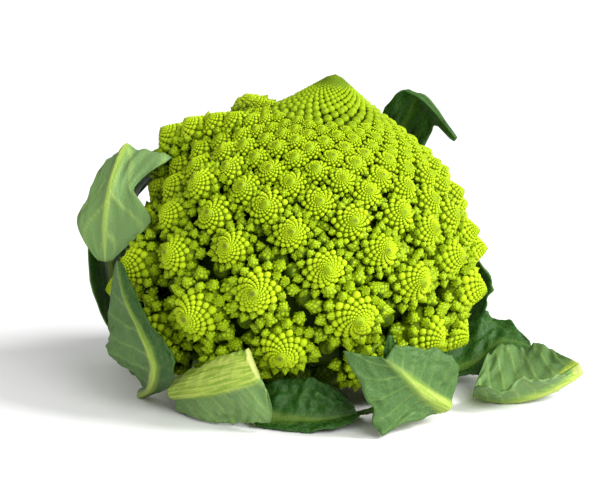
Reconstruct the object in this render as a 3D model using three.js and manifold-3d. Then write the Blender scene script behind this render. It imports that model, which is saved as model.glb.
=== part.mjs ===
// A romanesco head as picked: the fractal curd on its cut stalk, with the leaves that lie round it.
// Millimetres, +Z up. The origin is the middle of the stalk's cut face, which rests on the surface, z = 0.
// +X runs to the right and -Y towards the viewer. The head leans a little towards +X, and its rings shift
// towards -X the lower they are.

import * as THREE from "three";
import { mergeVertices } from "three/addons/utils/BufferGeometryUtils.js";
import Module from "manifold-3d";

const wasm = await Module();
wasm.setup();

// Driving dimensions of the head
const HEAD_HEIGHT = 144;
const APEX_X = 19.5;
const HEAD_LEAN = THREE.MathUtils.degToRad(5);
const HEAD_SHIFT = 0.09;

// The core that the florets grow on is a surface of revolution: a straight cone at the top,
// then a wide arc down to the widest ring and a tighter arc underneath.
const CONE_SLOPE = THREE.MathUtils.degToRad(50);
const CONE_LENGTH = 48;
const SHOULDER_RADIUS = 76;
const UNDERSIDE_RADIUS = 42;
const UNDERSIDE_SLOPE = THREE.MathUtils.degToRad(52);
const CORE_SIDES = 20;
const CORE_INSET = 1.2;

// Floret widths grow with the distance from the apex, along the surface
const WIDTH_SHARE_AT_TIP = 0.13;
const WIDTH_SHARE_FULL_GROWN = 0.22;
const FULL_GROWN = 117;
const WIDEST_FLORET = 26;
const FIRST_FLORET = 4.5;
const PACKING = 0.92;
const FIRST_KNOBBED_FLORET = 58;
const FIRST_SOLID_FLORET = 92;
const LAST_FLORET = 147;
const SPIRAL_START = THREE.MathUtils.degToRad(314);

// Florets are cones with bumps of their own
const FLORET_HALF_ANGLE = THREE.MathUtils.degToRad(33);
const FLORET_LENGTH_SHARE = 1.25;
const FLORET_SUNK_SHARE = 0.24;
const FLORET_TIP_SHARE = 0.38;
const BIG_FLORET_WIDTH = 25;
const BUMP_HEIGHT_SHARE = 0.42;
const SMALL_FLORET_HEIGHT_SHARE = 0.6;
const WAIST_SHARE = 0.5;
const KNOB_SHARE = 0.16;

// Stalk and leaves
const STALK_RADIUS = 19;
const STALK_TOP_RADIUS = 33;
const STALK_SIDES = 24;
const GAP = 0.4;
const BLADE_THICKNESS = 1.1;
const RIB_HEIGHT = 4;
const LEAF_ROWS = 12;
const LEAF_COLUMNS = [-1, -0.6, -0.2, 0, 0.2, 0.6, 1];

// The spirals turn clockwise seen from above
const GOLDEN_ANGLE = -Math.PI * (3 - Math.sqrt(5));
const FIELD_CORNERS = [[-0.5, -0.5], [0.5, -0.5], [0.5, 0.5], [-0.5, 0.5]];

// Finishes
const curdFinish = { color: 0xb5cc1a, roughness: 0.62, metalness: 0 };
const stalkFinish = { color: 0xc3cf86, roughness: 0.55, metalness: 0 };
const leafFinish = { color: 0x5d8a4e, roughness: 0.5, metalness: 0 };
const darkLeafFinish = { color: 0x2f5f2b, roughness: 0.5, metalness: 0 };
const ribFinish = { color: 0xa9c35e, roughness: 0.5, metalness: 0 };

// Geometry to solid and back

function solidOf(geometry) {
  const plain = geometry.index ? geometry.toNonIndexed() : geometry.clone();
  plain.deleteAttribute("normal");
  plain.deleteAttribute("uv");
  const merged = mergeVertices(plain, 1e-4);
  return new wasm.Manifold(
    new wasm.Mesh({
      numProp: 3,
      vertProperties: merged.attributes.position.array,
      triVerts: new Uint32Array(merged.index.array),
    }),
  );
}

function geometryOf(solid) {
  const mesh = solid.getMesh();
  const geometry = new THREE.BufferGeometry();
  geometry.setAttribute("position", new THREE.BufferAttribute(mesh.vertProperties, 3));
  geometry.setIndex(new THREE.BufferAttribute(mesh.triVerts, 1));
  geometry.computeVertexNormals();
  return geometry;
}

// The outer surface alone, so that pockets sealed in between the florets are filled
function outerShell(solid) {
  return solid.decompose().reduce((outer, shell) => (shell.volume() > outer.volume() ? shell : outer));
}

// A closed geometry from corner points and triangles, with its faces turned outwards
function closedGeometry(points, triangles) {
  let volume = 0;
  for (const [a, b, c] of triangles) {
    volume += points[a].dot(new THREE.Vector3().crossVectors(points[b], points[c]));
  }
  const outward = volume > 0 ? triangles : triangles.map(([a, b, c]) => [a, c, b]);
  const geometry = new THREE.BufferGeometry().setFromPoints(points);
  geometry.setIndex(outward.flat());
  return geometry;
}

// The core's outline at a distance s from the apex along the surface:
// radius from the axis, depth below the apex, and slope, the angle between the surface and the axis
const shoulderLength = SHOULDER_RADIUS * CONE_SLOPE;
const shoulderTop = {
  radius: CONE_LENGTH * Math.sin(CONE_SLOPE),
  depth: CONE_LENGTH * Math.cos(CONE_SLOPE),
};
const widest = {
  radius: shoulderTop.radius + SHOULDER_RADIUS * (1 - Math.cos(CONE_SLOPE)),
  depth: shoulderTop.depth + SHOULDER_RADIUS * Math.sin(CONE_SLOPE),
};
const coreLength = CONE_LENGTH + shoulderLength + UNDERSIDE_RADIUS * UNDERSIDE_SLOPE;

function outlineAt(s) {
  if (s < CONE_LENGTH) {
    return { radius: s * Math.sin(CONE_SLOPE), depth: s * Math.cos(CONE_SLOPE), slope: CONE_SLOPE };
  }
  if (s < CONE_LENGTH + shoulderLength) {
    const slope = CONE_SLOPE - (s - CONE_LENGTH) / SHOULDER_RADIUS;
    return {
      radius: shoulderTop.radius + SHOULDER_RADIUS * (Math.cos(slope) - Math.cos(CONE_SLOPE)),
      depth: shoulderTop.depth + SHOULDER_RADIUS * (Math.sin(CONE_SLOPE) - Math.sin(slope)),
      slope,
    };
  }
  const turned = (s - CONE_LENGTH - shoulderLength) / UNDERSIDE_RADIUS;
  return {
    radius: widest.radius - UNDERSIDE_RADIUS * (1 - Math.cos(turned)),
    depth: widest.depth + UNDERSIDE_RADIUS * Math.sin(turned),
    slope: -turned,
  };
}

function floretWidthAt(s) {
  const growth = Math.min(1, s / FULL_GROWN);
  const share = WIDTH_SHARE_AT_TIP + (WIDTH_SHARE_FULL_GROWN - WIDTH_SHARE_AT_TIP) * growth;
  return Math.min(s * share, WIDEST_FLORET);
}

// Distances from the apex of florets 0, 1, 2 and so on: each takes up the ground of one floret
function floretDistances() {
  const distances = [FIRST_FLORET];
  while (distances.at(-1) < coreLength) {
    const s = distances.at(-1);
    const ground = PACKING * floretWidthAt(s) ** 2;
    distances.push(s + ground / (2 * Math.PI * outlineAt(s).radius));
  }
  return distances;
}

const distances = floretDistances();

// The distance at a place between two florets, which is the apex above the first one
function distanceAt(index) {
  if (index <= 0) return 0;
  const whole = Math.min(Math.floor(index), distances.length - 2);
  return THREE.MathUtils.lerp(distances[whole], distances[whole + 1], index - whole);
}

function wrapAngle(angle) {
  return angle - 2 * Math.PI * Math.round(angle / (2 * Math.PI));
}

// A cone covered in bumps on a golden-angle spiral. Two spiral families of `few` and `many` arms cross
// each other, the bumps stand in the fields between them, and the lower rim closes to `root`.
// A field is a plain point up to index `knobbedFrom`, and past it a cone with eight knobs round its side.
function bumpyCone({ few, many, lastIndex, knobbedFrom, pointAt, normalAt, heightAt, root }) {
  const fewTurn = wrapAngle(few * GOLDEN_ANGLE);
  const manyTurn = wrapAngle(many * GOLDEN_ANGLE);
  const points = [];
  const known = new Map();
  const latticePoint = (a, b) => {
    const point = pointAt(few * a + many * b, fewTurn * a + manyTurn * b);
    const key = point.toArray().map((value) => Math.round(value * 1e4)).join();
    if (!known.has(key)) known.set(key, points.push(point) - 1);
    return known.get(key);
  };
  const triangles = [];
  const addFan = (rim, peak) => {
    rim.forEach((point, side) => triangles.push([point, rim[(side + 1) % rim.length], peak]));
  };
  const middleOf = (rim) => {
    const middle = new THREE.Vector3();
    rim.forEach((point) => middle.addScaledVector(points[point], 1 / rim.length));
    return middle;
  };
  for (let i = 0; i < many; i++) {
    for (let j = -few; few * i + many * j < lastIndex; j++) {
      const rim = [];
      for (const [side, [a, b]] of FIELD_CORNERS.entries()) {
        const [nextA, nextB] = FIELD_CORNERS[(side + 1) % 4];
        const midA = i + (a + nextA) / 2;
        const midB = j + (b + nextB) / 2;
        rim.push(latticePoint(i + a, j + b));
        if (few * midA + many * midB > knobbedFrom) rim.push(latticePoint(midA, midB));
      }
      const outline = rim.filter((point, side) => point !== rim[(side + 1) % rim.length]);
      if (outline.length < 3) continue;
      const index = few * i + many * j;
      const normal = normalAt(index, fewTurn * i + manyTurn * j);
      const height = heightAt(index);
      const middle = middleOf(outline);
      const peak = points.push(middle.clone().addScaledVector(normal, height)) - 1;
      if (outline.length < 8) {
        addFan(outline, peak);
        continue;
      }
      const waist = outline.map((point) => {
        const place = points[point].clone().lerp(middle, WAIST_SHARE);
        return points.push(place.addScaledVector(normal, WAIST_SHARE * height)) - 1;
      });
      outline.forEach((point, side) => {
        const next = (side + 1) % outline.length;
        const knob = [point, outline[next], waist[next], waist[side]];
        const place = middleOf(knob);
        const outwards = place.clone().sub(middle).normalize();
        place.addScaledVector(outwards.addScaledVector(normal, 1), KNOB_SHARE * height);
        addFan(knob, points.push(place) - 1);
      });
      addFan(waist, peak);
    }
  }
  const rootIndex = points.push(root) - 1;
  const sides = new Set(triangles.flatMap(([a, b, c]) => [`${a},${b}`, `${b},${c}`, `${c},${a}`]));
  for (const side of [...sides]) {
    const [a, b] = side.split(",").map(Number);
    if (!sides.has(`${b},${a}`)) triangles.push([b, a, rootIndex]);
  }
  return closedGeometry(points, triangles);
}

// The top of the head, where the florets are small bumps and then small knobbed cones
function headTop() {
  return bumpyCone({
    few: 13,
    many: 21,
    lastIndex: distances.findIndex((s) => s > FIRST_SOLID_FLORET + 3),
    knobbedFrom: distances.findIndex((s) => s > FIRST_KNOBBED_FLORET),
    root: new THREE.Vector3(0, 0, -60),
    pointAt: (index, azimuth) => {
      const { radius, depth } = outlineAt(distanceAt(index));
      const turned = azimuth + SPIRAL_START;
      return new THREE.Vector3(radius * Math.cos(turned), radius * Math.sin(turned), -depth);
    },
    normalAt: (index, azimuth) => {
      const turned = azimuth + SPIRAL_START;
      const { slope } = outlineAt(distanceAt(index));
      const flat = Math.cos(slope);
      return new THREE.Vector3(flat * Math.cos(turned), flat * Math.sin(turned), Math.sin(slope));
    },
    heightAt: (index) => SMALL_FLORET_HEIGHT_SHARE * floretWidthAt(distanceAt(Math.max(index, 1))),
  });
}

// One floret of length 1 along its side, pointing along +Z with its tip at the origin
function floretForm(few, many) {
  const sine = Math.sin(FLORET_HALF_ANGLE);
  const cosine = Math.cos(FLORET_HALF_ANGLE);
  const fewTurn = wrapAngle(few * GOLDEN_ANGLE);
  const manyTurn = wrapAngle(many * GOLDEN_ANGLE);
  const growth = Math.sqrt((-fewTurn * manyTurn) / (few * many)) * sine;
  const lastIndex = Math.log(1 / FLORET_TIP_SHARE) / growth;
  const lengthAt = (index) => (index <= 0 ? 0 : FLORET_TIP_SHARE * Math.exp(growth * index));
  return bumpyCone({
    few,
    many,
    lastIndex,
    knobbedFrom: Infinity,
    root: new THREE.Vector3(0, 0, -cosine),
    pointAt: (index, azimuth) => {
      const length = Math.min(lengthAt(index), 1.1);
      return new THREE.Vector3(
        length * sine * Math.cos(azimuth),
        length * sine * Math.sin(azimuth),
        -length * cosine,
      );
    },
    normalAt: (index, azimuth) =>
      new THREE.Vector3(cosine * Math.cos(azimuth), cosine * Math.sin(azimuth), sine),
    heightAt: (index) => {
      const bumpWidth = (2 * Math.PI * sine * lengthAt(Math.max(index, 1))) / Math.hypot(few, many);
      return BUMP_HEIGHT_SHARE * bumpWidth;
    },
  });
}

function coreGeometry() {
  const outline = [];
  const steps = 14;
  for (let step = 0; step <= steps; step++) {
    const { radius, depth, slope } = outlineAt((coreLength * step) / steps);
    const inset = step === 0 ? 0 : CORE_INSET;
    outline.push(
      new THREE.Vector2(
        Math.max(0, radius - inset * Math.cos(slope)),
        -depth - CORE_INSET * Math.sin(slope),
      ),
    );
  }
  outline.push(new THREE.Vector2(0, outline.at(-1).y));
  outline.reverse();
  const lathe = new THREE.LatheGeometry(outline, CORE_SIDES);
  return lathe.rotateX(Math.PI / 2);
}

function curdGeometry() {
  const bigForm = floretForm(5, 8);
  const smallForm = floretForm(3, 5);
  let curd = solidOf(coreGeometry()).add(solidOf(headTop()));
  distances.forEach((s, index) => {
    if (s < FIRST_SOLID_FLORET || s > LAST_FLORET) return;
    const { radius, depth, slope } = outlineAt(s);
    const width = floretWidthAt(s);
    const azimuth = index * GOLDEN_ANGLE + SPIRAL_START;
    const length = FLORET_LENGTH_SHARE * width;
    const proud = length * Math.cos(FLORET_HALF_ANGLE) - FLORET_SUNK_SHARE * width;
    const form = (width > BIG_FLORET_WIDTH ? bigForm : smallForm).clone();
    form.scale(length, length, length);
    form.translate(0, 0, proud);
    form.rotateY(Math.PI / 2 - slope);
    form.translate(radius, 0, -depth);
    form.rotateZ(azimuth);
    curd = curd.add(solidOf(form));
  });
  const shift = new THREE.Matrix4().makeShear(0, 0, 0, 0, HEAD_SHIFT, 0);
  return geometryOf(outerShell(curd)).applyMatrix4(shift);
}

// Heights along the head's leaning axis, above the middle of the cut face
const apexHeight = HEAD_HEIGHT * Math.cos(HEAD_LEAN) + APEX_X * Math.sin(HEAD_LEAN);
const curdBottom = outlineAt(coreLength);
const curdBottomHeight = apexHeight - curdBottom.depth + CORE_INSET * Math.sin(UNDERSIDE_SLOPE);

// The stalk flares out under the curd along the head's axis, and is cut off level below
function stalkGeometry() {
  const top = curdBottomHeight - GAP;
  const outline = [
    new THREE.Vector2(0, -8),
    new THREE.Vector2(STALK_RADIUS, -8),
    new THREE.Vector2(STALK_RADIUS, 9),
    new THREE.Vector2(STALK_RADIUS + 3, 14),
    new THREE.Vector2(STALK_RADIUS + 9, top - 3),
    new THREE.Vector2(STALK_TOP_RADIUS, top),
    new THREE.Vector2(0, top),
  ];
  const flared = new THREE.LatheGeometry(outline, STALK_SIDES).rotateX(Math.PI / 2).rotateY(HEAD_LEAN);
  const below = new THREE.BoxGeometry(80, 80, 20).translate(0, 0, -10);
  return geometryOf(solidOf(flared).subtract(solidOf(below)));
}

// A leaf is a sheet between three curves: the left margin, the midrib and the right margin, each through
// as many points from the leaf's base to its tip. The midrib stands out on the underside.
function leafGeometry({ left, spine, right, ribHeight = RIB_HEIGHT, wave = 0, waves = 3 }) {
  const [leftCurve, spineCurve, rightCurve] = [left, spine, right].map((points) => {
    const corners = points.map((point) => new THREE.Vector3(...point));
    return new THREE.CatmullRomCurve3(corners, false, "catmullrom");
  });
  const sheetPoint = (u, v) => {
    const along = THREE.MathUtils.clamp(u, 0, 1);
    return spineCurve.getPoint(along).lerp((v < 0 ? leftCurve : rightCurve).getPoint(along), Math.abs(v));
  };
  const step = 0.02;
  const upper = [];
  const lower = [];
  for (let row = 0; row <= LEAF_ROWS; row++) {
    const u = row / LEAF_ROWS;
    for (const v of LEAF_COLUMNS) {
      const alongLeaf = sheetPoint(u + step, v).sub(sheetPoint(u - step, v));
      const acrossLeaf = sheetPoint(u, Math.min(1, v + 0.2)).sub(sheetPoint(u, Math.max(-1, v - 0.2)));
      const normal = acrossLeaf.cross(alongLeaf).normalize();
      const ripple = wave * v * v * Math.sin(2 * Math.PI * waves * u + 2 * v) * Math.sin(Math.PI * u);
      const middle = sheetPoint(u, v).addScaledVector(normal, ripple);
      const rib = ribHeight * (1 - 0.85 * u) * Math.max(0, 1 - Math.abs(v) / 0.5);
      upper.push(middle.clone().addScaledVector(normal, BLADE_THICKNESS / 2));
      lower.push(middle.addScaledVector(normal, -BLADE_THICKNESS / 2 - rib));
    }
  }
  const width = LEAF_COLUMNS.length;
  const under = upper.length;
  const triangles = [];
  for (let row = 0; row < LEAF_ROWS; row++) {
    for (let column = 0; column < width - 1; column++) {
      const a = row * width + column;
      const [b, c, d] = [a + 1, a + width + 1, a + width];
      triangles.push([a, b, c], [a, c, d]);
      triangles.push([under + a, under + c, under + b], [under + a, under + d, under + c]);
    }
  }
  const rim = [];
  for (let column = 0; column < width - 1; column++) rim.push(column);
  for (let row = 0; row < LEAF_ROWS; row++) rim.push(row * width + width - 1);
  for (let column = width - 1; column > 0; column--) rim.push(LEAF_ROWS * width + column);
  for (let row = LEAF_ROWS; row > 0; row--) rim.push(row * width);
  rim.forEach((point, side) => {
    const next = rim[(side + 1) % rim.length];
    triangles.push([point, under + point, under + next], [point, under + next, next]);
  });
  const geometry = closedGeometry([...upper, ...lower], triangles);
  geometry.computeVertexNormals();
  return geometry;
}

// The three base points of a leaf that grows from the stalk, with its base across the given azimuth
function baseAtStalk(azimuthDegrees, height, halfWidth) {
  const azimuth = THREE.MathUtils.degToRad(azimuthDegrees);
  const out = new THREE.Vector3(Math.cos(azimuth), Math.sin(azimuth), 0);
  const side = new THREE.Vector3(-out.y, out.x, 0);
  const lean = height * Math.tan(HEAD_LEAN);
  const middle = out.clone().multiplyScalar(STALK_RADIUS + 3).add(new THREE.Vector3(lean, 0, height));
  return {
    left: middle.clone().addScaledVector(side, halfWidth).toArray(),
    spine: middle.toArray(),
    right: middle.clone().addScaledVector(side, -halfWidth).toArray(),
  };
}

function grownFrom(base, { left, spine, right, ...rest }) {
  return {
    left: [base.left, ...left],
    spine: [base.spine, ...spine],
    right: [base.right, ...right],
    ...rest,
  };
}

// The leaf that rises behind the left side and arches over towards the viewer, its underside showing
const leafLeftUpper = grownFrom(baseAtStalk(150, 7, 6), {
  left: [
    [-44, 20, 6], [-82, 36, 14], [-93, 22, 60], [-83, 6, 102], [-89, -8, 90], [-96, -13, 79], [-90, -15, 62],
  ],
  spine: [
    [-48, 29, 6], [-78, 46, 16], [-87, 40, 62], [-74, 5, 108], [-79, -14, 97], [-82, -20, 80], [-82, -19, 62],
  ],
  right: [
    [-52, 38, 6], [-72, 58, 16], [-76, 60, 66], [-52, -9, 107], [-69, -18, 95], [-61, -28, 82], [-76, -22, 63],
  ],
  wave: 2,
});

// The leaf that stands on its cut midrib at the lower left and hugs the head
const leafLeftLower = {
  left: [[-63, -18, 2], [-54, -42, 11], [-49, -62, 25], [-53, -60, 36], [-65, -47, 50], [-72, -35, 65]],
  spine: [
    [-67, -16, 3], [-61, -34, 12], [-58, -50, 25], [-63, -48, 38], [-71, -39, 52], [-75, -31, 66],
  ],
  right: [[-69, -12, 2], [-66, -24, 9], [-79, -28, 22], [-81, -28, 32], [-79, -27, 46], [-78, -27, 62]],
  wave: 1,
};

// The broad pale rib at the front left, cut off at both ends, with the rest of its blade hanging to the surface
const leafFrontLeft = {
  left: [[-50, -44, 2], [-38, -58, 3], [-19, -64, 2], [-14, -72, 9], [-3, -76, 4]],
  spine: [[-51, -42, 8], [-41, -55, 14], [-31, -66, 20], [-23, -74, 25], [-14, -80, 29]],
  right: [[-47, -44, 16], [-39, -55, 22], [-30, -66, 28], [-23, -74, 32], [-17, -80, 35]],
  ribHeight: 5,
};

// The dark blade that lies in front like a boat
const leafFrontLow = {
  left: [[-6, -56, 10], [4, -60, 12], [14, -60, 9], [24, -58, 6]],
  spine: [[-8, -66, 3], [4, -69, 2], [16, -68, 2], [28, -62, 3]],
  right: [[-7, -74, 2], [5, -79, 6], [17, -79, 6], [30, -68, 9]],
  ribHeight: 1,
  wave: 1,
};

// The leaf at the front right that shows its veined underside, with its cut midrib towards the right
const leafFrontRight = {
  left: [[68, -58, 9], [72, -58, 24], [63, -67, 34], [54, -77, 37], [43, -88, 41]],
  spine: [[65, -62, 8], [58, -70, 14], [52, -79, 21], [46, -85, 28], [39, -89, 35]],
  right: [[61, -64, 5], [47, -80, 4], [36, -87, 2], [31, -89, 16], [21, -87, 38]],
  wave: 1,
};

// The cupped leaf on the right, its cut stalk pointing away from the head
const leafRight = {
  left: [[123, -27, 13], [114, -42, 15], [101, -48, 16], [90, -50, 11], [80, -46, 14]],
  spine: [[128, -22, 16], [114, -28, 8], [100, -32, 4], [88, -32, 3], [80, -30, 4]],
  right: [[124, -16, 17], [115, -3, 19], [104, 5, 18], [93, 4, 18], [86, -8, 15]],
  ribHeight: 5,
  wave: 1,
};

// The dark crinkled leaf behind it
const leafRightBack = grownFrom(baseAtStalk(8, 7, 6), {
  left: [[50, 16, 6], [80, 22, 26], [94, 26, 27], [108, 18, 20]],
  spine: [[52, 8, 5], [82, 8, 8], [96, 12, 18], [110, 10, 16]],
  right: [[52, 0, 5], [80, -2, 4], [95, 1, 12], [108, 2, 12]],
  wave: 3,
  waves: 4,
});

// The leaf that stands up behind the head and curls over at the upper right
const leafBackRight = grownFrom(baseAtStalk(79, 7, 6), {
  left: [
    [10, 56, 6], [6, 92, 18], [14, 90, 62], [36, 66, 102], [44, 46, 122], [54, 38, 131], [74, 27, 112],
  ],
  spine: [
    [17, 54, 6], [26, 90, 18], [36, 88, 62], [48, 66, 100], [54, 52, 116], [60, 39, 128], [75, 27, 110],
  ],
  right: [
    [24, 53, 6], [46, 84, 18], [60, 78, 60], [62, 62, 94], [64, 52, 106], [67, 39, 114], [73, 28, 107],
  ],
  wave: 1.5,
});

// A slender young leaf between the head and the leaf at the front right
const leafInner = {
  left: [[27, -56, 2], [35, -72, 10], [37, -82, 25], [39, -84, 43]],
  spine: [[30, -55, 2], [38, -71, 10], [41, -81, 25], [41, -84, 44]],
  right: [[33, -54, 2], [41, -70, 10], [45, -80, 25], [43, -83, 43]],
  ribHeight: 1,
};

// Two low leaves that close the ring behind
const leafBackLeft = grownFrom(baseAtStalk(114, 7, 6), {
  left: [[-26, 46, 6], [-58, 70, 12], [-60, 78, 36], [-48, 78, 56]],
  spine: [[-20, 50, 6], [-38, 84, 12], [-42, 92, 36], [-36, 88, 58]],
  right: [[-13, 53, 6], [-14, 92, 12], [-20, 96, 36], [-22, 92, 54]],
  wave: 2,
});

const leafBack = grownFrom(baseAtStalk(44, 7, 6), {
  left: [[34, 42, 6], [54, 74, 12], [62, 76, 34], [68, 72, 50]],
  spine: [[41, 35, 6], [70, 60, 12], [82, 62, 34], [82, 58, 52]],
  right: [[46, 28, 6], [84, 40, 12], [94, 42, 34], [90, 46, 50]],
  wave: 2,
});

const root = new THREE.Group();

function addPart(name, geometry, finish, parent = root) {
  const mesh = new THREE.Mesh(geometry, new THREE.MeshStandardMaterial(finish));
  mesh.name = name;
  parent.add(mesh);
}

const head = new THREE.Group();
head.position.set(APEX_X, 0, HEAD_HEIGHT);
head.rotation.y = HEAD_LEAN;
root.add(head);
addPart("curd", curdGeometry(), curdFinish, head);
addPart("stalk", stalkGeometry(), stalkFinish);
addPart("leaf_left_upper", leafGeometry(leafLeftUpper), leafFinish);
addPart("leaf_left_lower", leafGeometry(leafLeftLower), leafFinish);
addPart("leaf_front_left", leafGeometry(leafFrontLeft), ribFinish);
addPart("leaf_front_low", leafGeometry(leafFrontLow), darkLeafFinish);
addPart("leaf_front_right", leafGeometry(leafFrontRight), leafFinish);
addPart("leaf_right", leafGeometry(leafRight), leafFinish);
addPart("leaf_right_back", leafGeometry(leafRightBack), darkLeafFinish);
addPart("leaf_back_right", leafGeometry(leafBackRight), darkLeafFinish);
addPart("leaf_inner", leafGeometry(leafInner), darkLeafFinish);
addPart("leaf_back_left", leafGeometry(leafBackLeft), leafFinish);
addPart("leaf_back", leafGeometry(leafBack), leafFinish);

export default root;
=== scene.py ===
"""A romanesco head as picked, on its cut stalk with its leaves round it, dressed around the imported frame.

Metres, +Z up, the viewer looks along +Y. The florets stand on the same golden-angle spiral as the solids' do.
"""

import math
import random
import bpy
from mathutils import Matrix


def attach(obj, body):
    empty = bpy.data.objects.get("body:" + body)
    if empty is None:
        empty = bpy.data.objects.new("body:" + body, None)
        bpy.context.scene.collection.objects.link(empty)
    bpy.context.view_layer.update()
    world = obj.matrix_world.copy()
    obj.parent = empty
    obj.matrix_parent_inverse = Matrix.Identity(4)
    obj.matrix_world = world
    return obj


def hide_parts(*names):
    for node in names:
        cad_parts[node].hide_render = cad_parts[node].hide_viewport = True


bl_info = {
    "name": "Romanesco head",
    "version": (1, 0, 0),
    "blender": (4, 5, 0),
    "location": "View3D > Sidebar > Romanesco",
    "description": "A fractal romanesco head with its stalk, its leaves and a studio stage",
    "category": "Add Mesh",
}

import bmesh
import bpy
from mathutils import Matrix, Vector, noise

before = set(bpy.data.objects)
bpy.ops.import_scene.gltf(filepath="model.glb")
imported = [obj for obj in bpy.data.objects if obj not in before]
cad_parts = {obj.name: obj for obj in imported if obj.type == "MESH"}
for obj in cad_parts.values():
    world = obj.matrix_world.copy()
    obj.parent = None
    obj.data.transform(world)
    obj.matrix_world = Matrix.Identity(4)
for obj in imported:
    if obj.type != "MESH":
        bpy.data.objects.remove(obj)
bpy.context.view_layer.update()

MM = 0.001
# From each floret to the next, clockwise as seen from above
GOLDEN_ANGLE = -math.pi * (3 - math.sqrt(5))
SEED = 8


# Settings that a user would change

def length_setting(name, description, default):
    return bpy.props.FloatProperty(name=name, description=description, default=default, unit="LENGTH")


def angle_setting(name, description, degrees):
    return bpy.props.FloatProperty(
        name=name, description=description, default=math.radians(degrees), unit="ROTATION")


def colour_setting(name, description, default):
    return bpy.props.FloatVectorProperty(
        name=name, description=description, default=default, size=3, subtype="COLOR")


def strength_setting(name, description, default):
    return bpy.props.FloatProperty(name=name, description=description, default=default, min=0)


class HeadSettings(bpy.types.PropertyGroup):
    """Sizes of the curd"""

    height: length_setting("Height", "Height of the apex over the surface", 0.144)
    apex_x: length_setting("Apex offset", "How far the apex stands to the right of the stalk", 0.0195)
    lean: angle_setting("Lean", "Lean of the head's axis to the right", 5)
    shift: bpy.props.FloatProperty(
        name="Shift", description="How far the head's rings shift to the left for their depth", default=0.09)
    cone_slope: angle_setting("Cone slope", "Half angle of the cone at the top of the head", 50)
    cone_length: length_setting("Cone length", "Length of the straight cone along its side", 0.048)
    shoulder_radius: length_setting("Shoulder radius", "Arc from the cone to the widest ring", 0.076)
    underside_radius: length_setting("Underside radius", "Arc from the widest ring inwards", 0.042)
    widest_floret: length_setting("Widest floret", "Width of the full-grown florets", 0.026)
    spiral_start: angle_setting("Spiral start", "Turn of the spiral round the head's axis", 314)
    jitter: bpy.props.FloatProperty(
        name="Unevenness", description="How far florets differ in size and tilt", default=0.05,
        subtype="FACTOR", min=0, max=1)


class CurdColours(bpy.types.PropertyGroup):
    """Colours of the curd"""

    # tip is a painted highlight on what stands most in the open; crevice is painted shade deep between the
    # florets, partly their own deeper green
    tip: colour_setting("Tip", "The florets' tips", (0.47, 0.60, 0.010))
    body: colour_setting("Body", "The florets' sides", (0.27, 0.40, 0.003))
    crevice: colour_setting("Crevice", "Between the florets", (0.03, 0.07, 0.001))
    pit: colour_setting("Pit", "The weathered pits at some tips", (0.13, 0.11, 0.02))


class LeafSettings(bpy.types.PropertyGroup):
    """Sizes and colours of the leaves and the stalk"""

    thickness: length_setting("Thickness", "Thickness of the blades", 0.0008)
    rows: bpy.props.IntProperty(name="Rows", description="Faces along a leaf", default=66, min=8)
    columns: bpy.props.IntProperty(name="Columns", description="Faces across a leaf", default=30, min=8)
    underside: colour_setting("Underside", "The dull grey-green underside", (0.125, 0.225, 0.070))
    upper_side: colour_setting("Upper side", "The deep green upper side", (0.012, 0.064, 0.004))
    mottle: colour_setting("Mottle", "Patches of another green on a blade", (0.13, 0.25, 0.05))
    vein: colour_setting("Vein", "Pale midribs and veins", (0.32, 0.45, 0.10))
    cut: colour_setting("Cut", "Cut faces", (0.36, 0.40, 0.11))
    stem_green: colour_setting("Stem green", "Green streaks along a midrib", (0.20, 0.32, 0.02))
    stem_pale: colour_setting("Stem pale", "Pale streaks along a midrib", (0.42, 0.52, 0.09))
    stalk_green: colour_setting("Stalk green", "Green streaks on the stalk", (0.38, 0.46, 0.20))
    stalk_pale: colour_setting("Stalk pale", "Pale streaks on the stalk", (0.58, 0.60, 0.36))


class StageSettings(bpy.types.PropertyGroup):
    """Camera, floor and lights"""

    camera_height: angle_setting("Camera elevation", "How far the camera looks down", 11)
    camera_distance: length_setting("Camera distance", "From the camera to the point it looks at", 1.0)
    lens: bpy.props.FloatProperty(
        name="Lens", description="Focal length for a sensor 36 mm wide", default=133.3, unit="CAMERA")
    floor: colour_setting("Floor", "Colour of the floor", (0.86, 0.86, 0.86))
    floor_size: length_setting("Floor size", "From the middle of the floor to its edge", 20)
    room_light: strength_setting("Room light", "Strength of the even light from all round", 0.62)
    key_light: strength_setting("Key light", "Strength of the broad light from the upper right", 3.9)
    key_angle: angle_setting("Key angle", "How broad the key light is, as seen from the head", 25)
    fill_light: strength_setting("Fill light", "Power of the soft light at the front right", 18)
    fill_size: length_setting("Fill size", "Side of the fill light's panel", 0.8)


# Shader nodes, written as Python expressions

class Value:
    """A socket of a material's node tree. Python's operators on it add Math nodes."""

    def __init__(self, finish, socket):
        self.finish = finish
        self.socket = socket

    def math(self, operation, *operands):
        return self.finish.node("ShaderNodeMath", {"operation": operation}, dict(enumerate(operands)))

    def __radd__(self, other):
        return self.math("ADD", other, self)

    def __rsub__(self, other):
        return self.math("SUBTRACT", other, self)

    def __mul__(self, other):
        return self.math("MULTIPLY", self, other)

    def __rmul__(self, other):
        return self.math("MULTIPLY", other, self)

    def __gt__(self, other):
        return self.math("GREATER_THAN", self, other)

    def maximum(self, other):
        return self.math("MAXIMUM", self, other)

    def absolute(self):
        return self.math("ABSOLUTE", self)

    def between(self, low, high):
        """0 at low or below, 1 at high or above, smooth in between."""
        sockets = {"Value": self, "From Min": low, "From Max": high, "To Min": 0.0, "To Max": 1.0}
        return self.finish.node("ShaderNodeMapRange", {"interpolation_type": "SMOOTHSTEP"}, sockets)


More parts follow.
